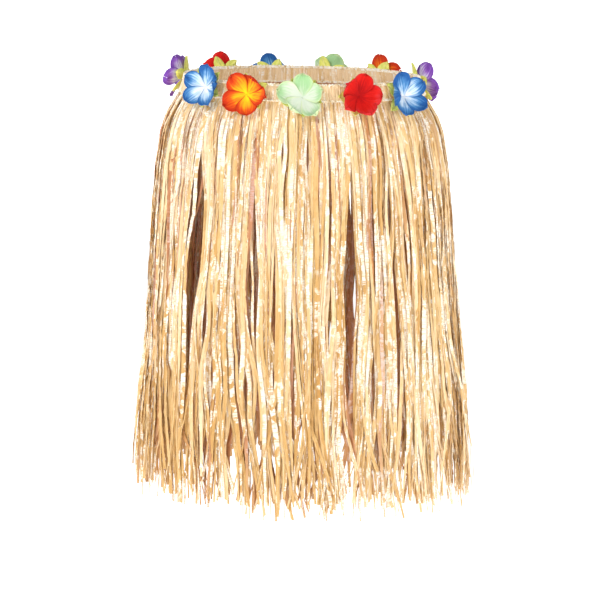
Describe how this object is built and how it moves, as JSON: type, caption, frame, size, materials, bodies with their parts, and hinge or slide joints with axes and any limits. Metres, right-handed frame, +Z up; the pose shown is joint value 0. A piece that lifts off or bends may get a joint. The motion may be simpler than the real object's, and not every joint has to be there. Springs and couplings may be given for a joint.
{
  "type": "grass skirt",
  "caption": "Knee-length raffia grass skirt: pleated waistband trimmed with cloth flowers over a hanging fringe, hollow and open as worn.",
  "frame": {"origin": "centre of the waist ring, halfway up the waistband, on the wearer's vertical line", "axes": "+Z up, the front faces -Y, +X towards the wearer's left"},
  "size_m": [0.4195, 0.2923, 0.5747],
  "materials": {
    "raffia": "glossy crinkled artificial raffia ribbon, straw gold",
    "band_raffia": "finely pleated artificial raffia, satin",
    "stitched_edge": "pale stitched ruffle, matt",
    "leaf_cloth": "matt printed cloth, yellow green",
    "petals_blue": "matt printed cloth, white at the middle to blue at the rim",
    "petals_orange": "matt printed cloth, yellow at the middle to orange red at the rim",
    "petals_green": "matt printed cloth, pale green and white",
    "petals_red": "matt printed cloth, red",
    "petals_violet": "matt printed cloth, white at the middle to violet at the rim"
  },
  "bodies": {
    "root": {"waistband_top_edge": "stitched_edge", "waistband": "band_raffia", "waistband_bottom_stitch": "stitched_edge", "fringe_tuft_01": "raffia", "fringe_tuft_02": "raffia", "fringe_tuft_03": "raffia", "fringe_tuft_04": "raffia", "fringe_tuft_05": "raffia", "fringe_tuft_06": "raffia", "fringe_tuft_07": "raffia", "fringe_tuft_08": "raffia", "fringe_tuft_09": "raffia", "fringe_tuft_10": "raffia", "fringe_tuft_11": "raffia", "fringe_tuft_12": "raffia", "fringe_tuft_13": "raffia", "fringe_tuft_14": "raffia", "fringe_tuft_15": "raffia", "fringe_tuft_16": "raffia", "fringe_tuft_17": "raffia", "fringe_tuft_18": "raffia", "fringe_tuft_19": "raffia", "fringe_tuft_20": "raffia", "fringe_tuft_21": "raffia", "fringe_tuft_22": "raffia", "fringe_tuft_23": "raffia", "fringe_tuft_24": "raffia", "flower_01_leaves": "leaf_cloth", "flower_01_petals": "petals_green", "flower_02_leaves": "leaf_cloth", "flower_02_petals": "petals_red", "flower_03_leaves": "leaf_cloth", "flower_03_petals": "petals_blue", "flower_04_leaves": "leaf_cloth", "flower_04_petals": "petals_violet", "flower_05_leaves": "leaf_cloth", "flower_05_petals": "petals_orange", "flower_06_leaves": "leaf_cloth", "flower_06_petals": "petals_green", "flower_07_leaves": "leaf_cloth", "flower_07_petals": "petals_blue", "flower_08_leaves": "leaf_cloth", "flower_08_petals": "petals_red", "flower_09_leaves": "leaf_cloth", "flower_09_petals": "petals_violet", "flower_10_leaves": "leaf_cloth", "flower_10_petals": "petals_blue", "flower_11_leaves": "leaf_cloth", "flower_11_petals": "petals_orange"}
  },
  "joints": []
}
